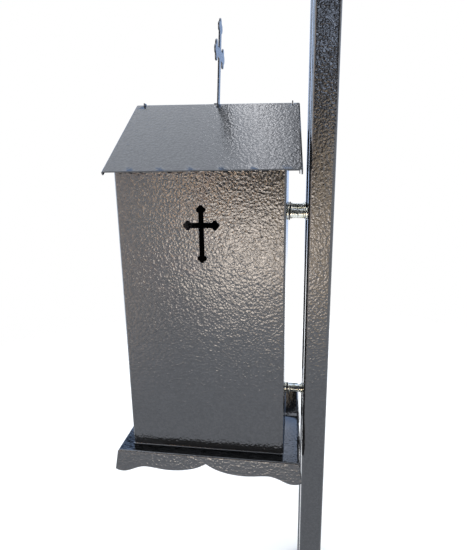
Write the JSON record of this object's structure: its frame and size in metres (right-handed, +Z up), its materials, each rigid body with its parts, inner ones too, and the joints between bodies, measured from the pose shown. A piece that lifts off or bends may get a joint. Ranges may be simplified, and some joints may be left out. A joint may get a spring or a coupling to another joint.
{
  "type": "grave cross with lantern",
  "caption": "Outline grave cross of square steel tube, with a house-shaped sheet-metal candle lantern bolted to the front of its uprights.",
  "frame": {"origin": "on the ground between the two uprights, where the cross goes into its footing", "axes": "+Z up along the uprights, -Y towards the lantern's front, X along the arms of the cross"},
  "size_m": [0.66, 0.2755, 1.33],
  "materials": {
    "cross_paint": "glossy anthracite hammered enamel on square steel tube",
    "lantern_paint": "glossy anthracite hammered enamel on steel sheet",
    "zinc": "bright zinc plating",
    "seal_rubber": "black rubber"
  },
  "bodies": {
    "root": {"upright_right": "cross_paint", "upright_left": "cross_paint", "top_rail": "cross_paint", "lower_rung": "cross_paint", "arm_right_upper": "cross_paint", "arm_right_lower": "cross_paint", "arm_right_end": "cross_paint", "arm_left_upper": "cross_paint", "arm_left_lower": "cross_paint", "arm_left_end": "cross_paint", "lantern_body": "lantern_paint", "base_plate": "lantern_paint", "lid_roof": "lantern_paint", "lid_gable_front": "lantern_paint", "lid_gable_rear": "lantern_paint", "finial_cross": "lantern_paint", "fix_right_bolt": "zinc", "fix_right_wall_washer": "zinc", "fix_right_seal": "seal_rubber", "fix_right_front_nut": "zinc", "fix_right_back_nut": "zinc", "fix_right_post_washer": "zinc", "fix_right_rivet_nut": "zinc", "fix_left_bolt": "zinc", "fix_left_wall_washer": "zinc", "fix_left_seal": "seal_rubber", "fix_left_front_nut": "zinc", "fix_left_back_nut": "zinc", "fix_left_post_washer": "zinc", "fix_left_rivet_nut": "zinc", "fix_low_bolt": "zinc", "fix_low_wall_washer": "zinc", "fix_low_seal": "seal_rubber", "fix_low_front_nut": "zinc", "fix_low_back_nut": "zinc", "fix_low_post_washer": "zinc", "fix_low_rivet_nut": "zinc"}
  },
  "joints": []
}
